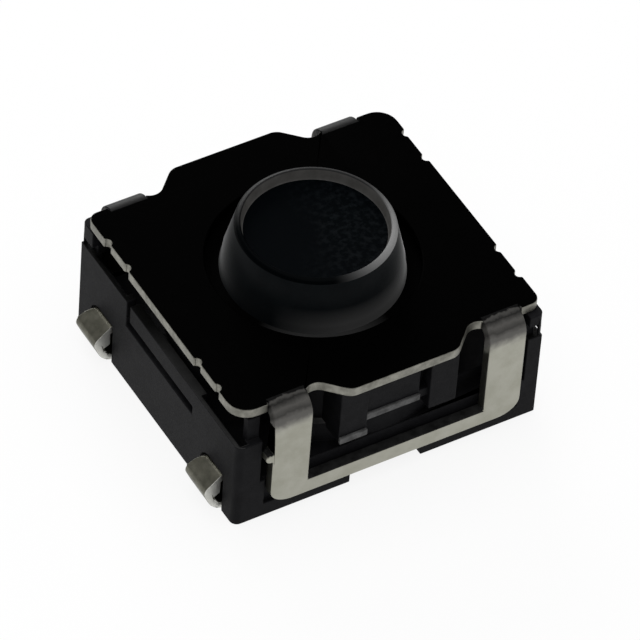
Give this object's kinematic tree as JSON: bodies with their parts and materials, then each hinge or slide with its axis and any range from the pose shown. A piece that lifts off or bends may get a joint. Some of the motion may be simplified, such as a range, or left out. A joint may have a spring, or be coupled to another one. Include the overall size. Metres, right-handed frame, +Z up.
{
  "type": "tactile push button switch",
  "caption": "Sealed square momentary push switch for surface mounting, with a round button, a stamped steel cover and J-bent solder terminals.",
  "frame": {"origin": "middle of the footprint, on the board plane under the terminals' feet", "axes": "+Z up out of the button's top, +X towards one terminal side, +Y towards the far stirrup side"},
  "size_m": [0.007, 0.0062, 0.0037],
  "materials": {
    "base_plastic": "moulded satin black",
    "terminal_plating": "tarnished tin plating",
    "dome_steel": "bright rolled spring steel",
    "seal_rubber": "matt silicone",
    "button_plastic": "satin black with polished rim",
    "cover_steel": "satin steel, black coating on the top face, bare cut edges"
  },
  "bodies": {
    "switch_body": {"base_housing": "base_plastic", "front_contact": "terminal_plating", "rear_contact": "terminal_plating", "snap_dome": "dome_steel", "seal": "seal_rubber", "cover": "cover_steel"},
    "button": {"button": "button_plastic"}
  },
  "joints": [
    {"name": "button_press", "type": "slide", "parent": "switch_body", "child": "button", "axis": [0, 0, -1], "range_m": [0, 0.00025], "stiffness_N_per_m": 1600, "deforming": ["snap_dome", "seal"]}
  ]
}
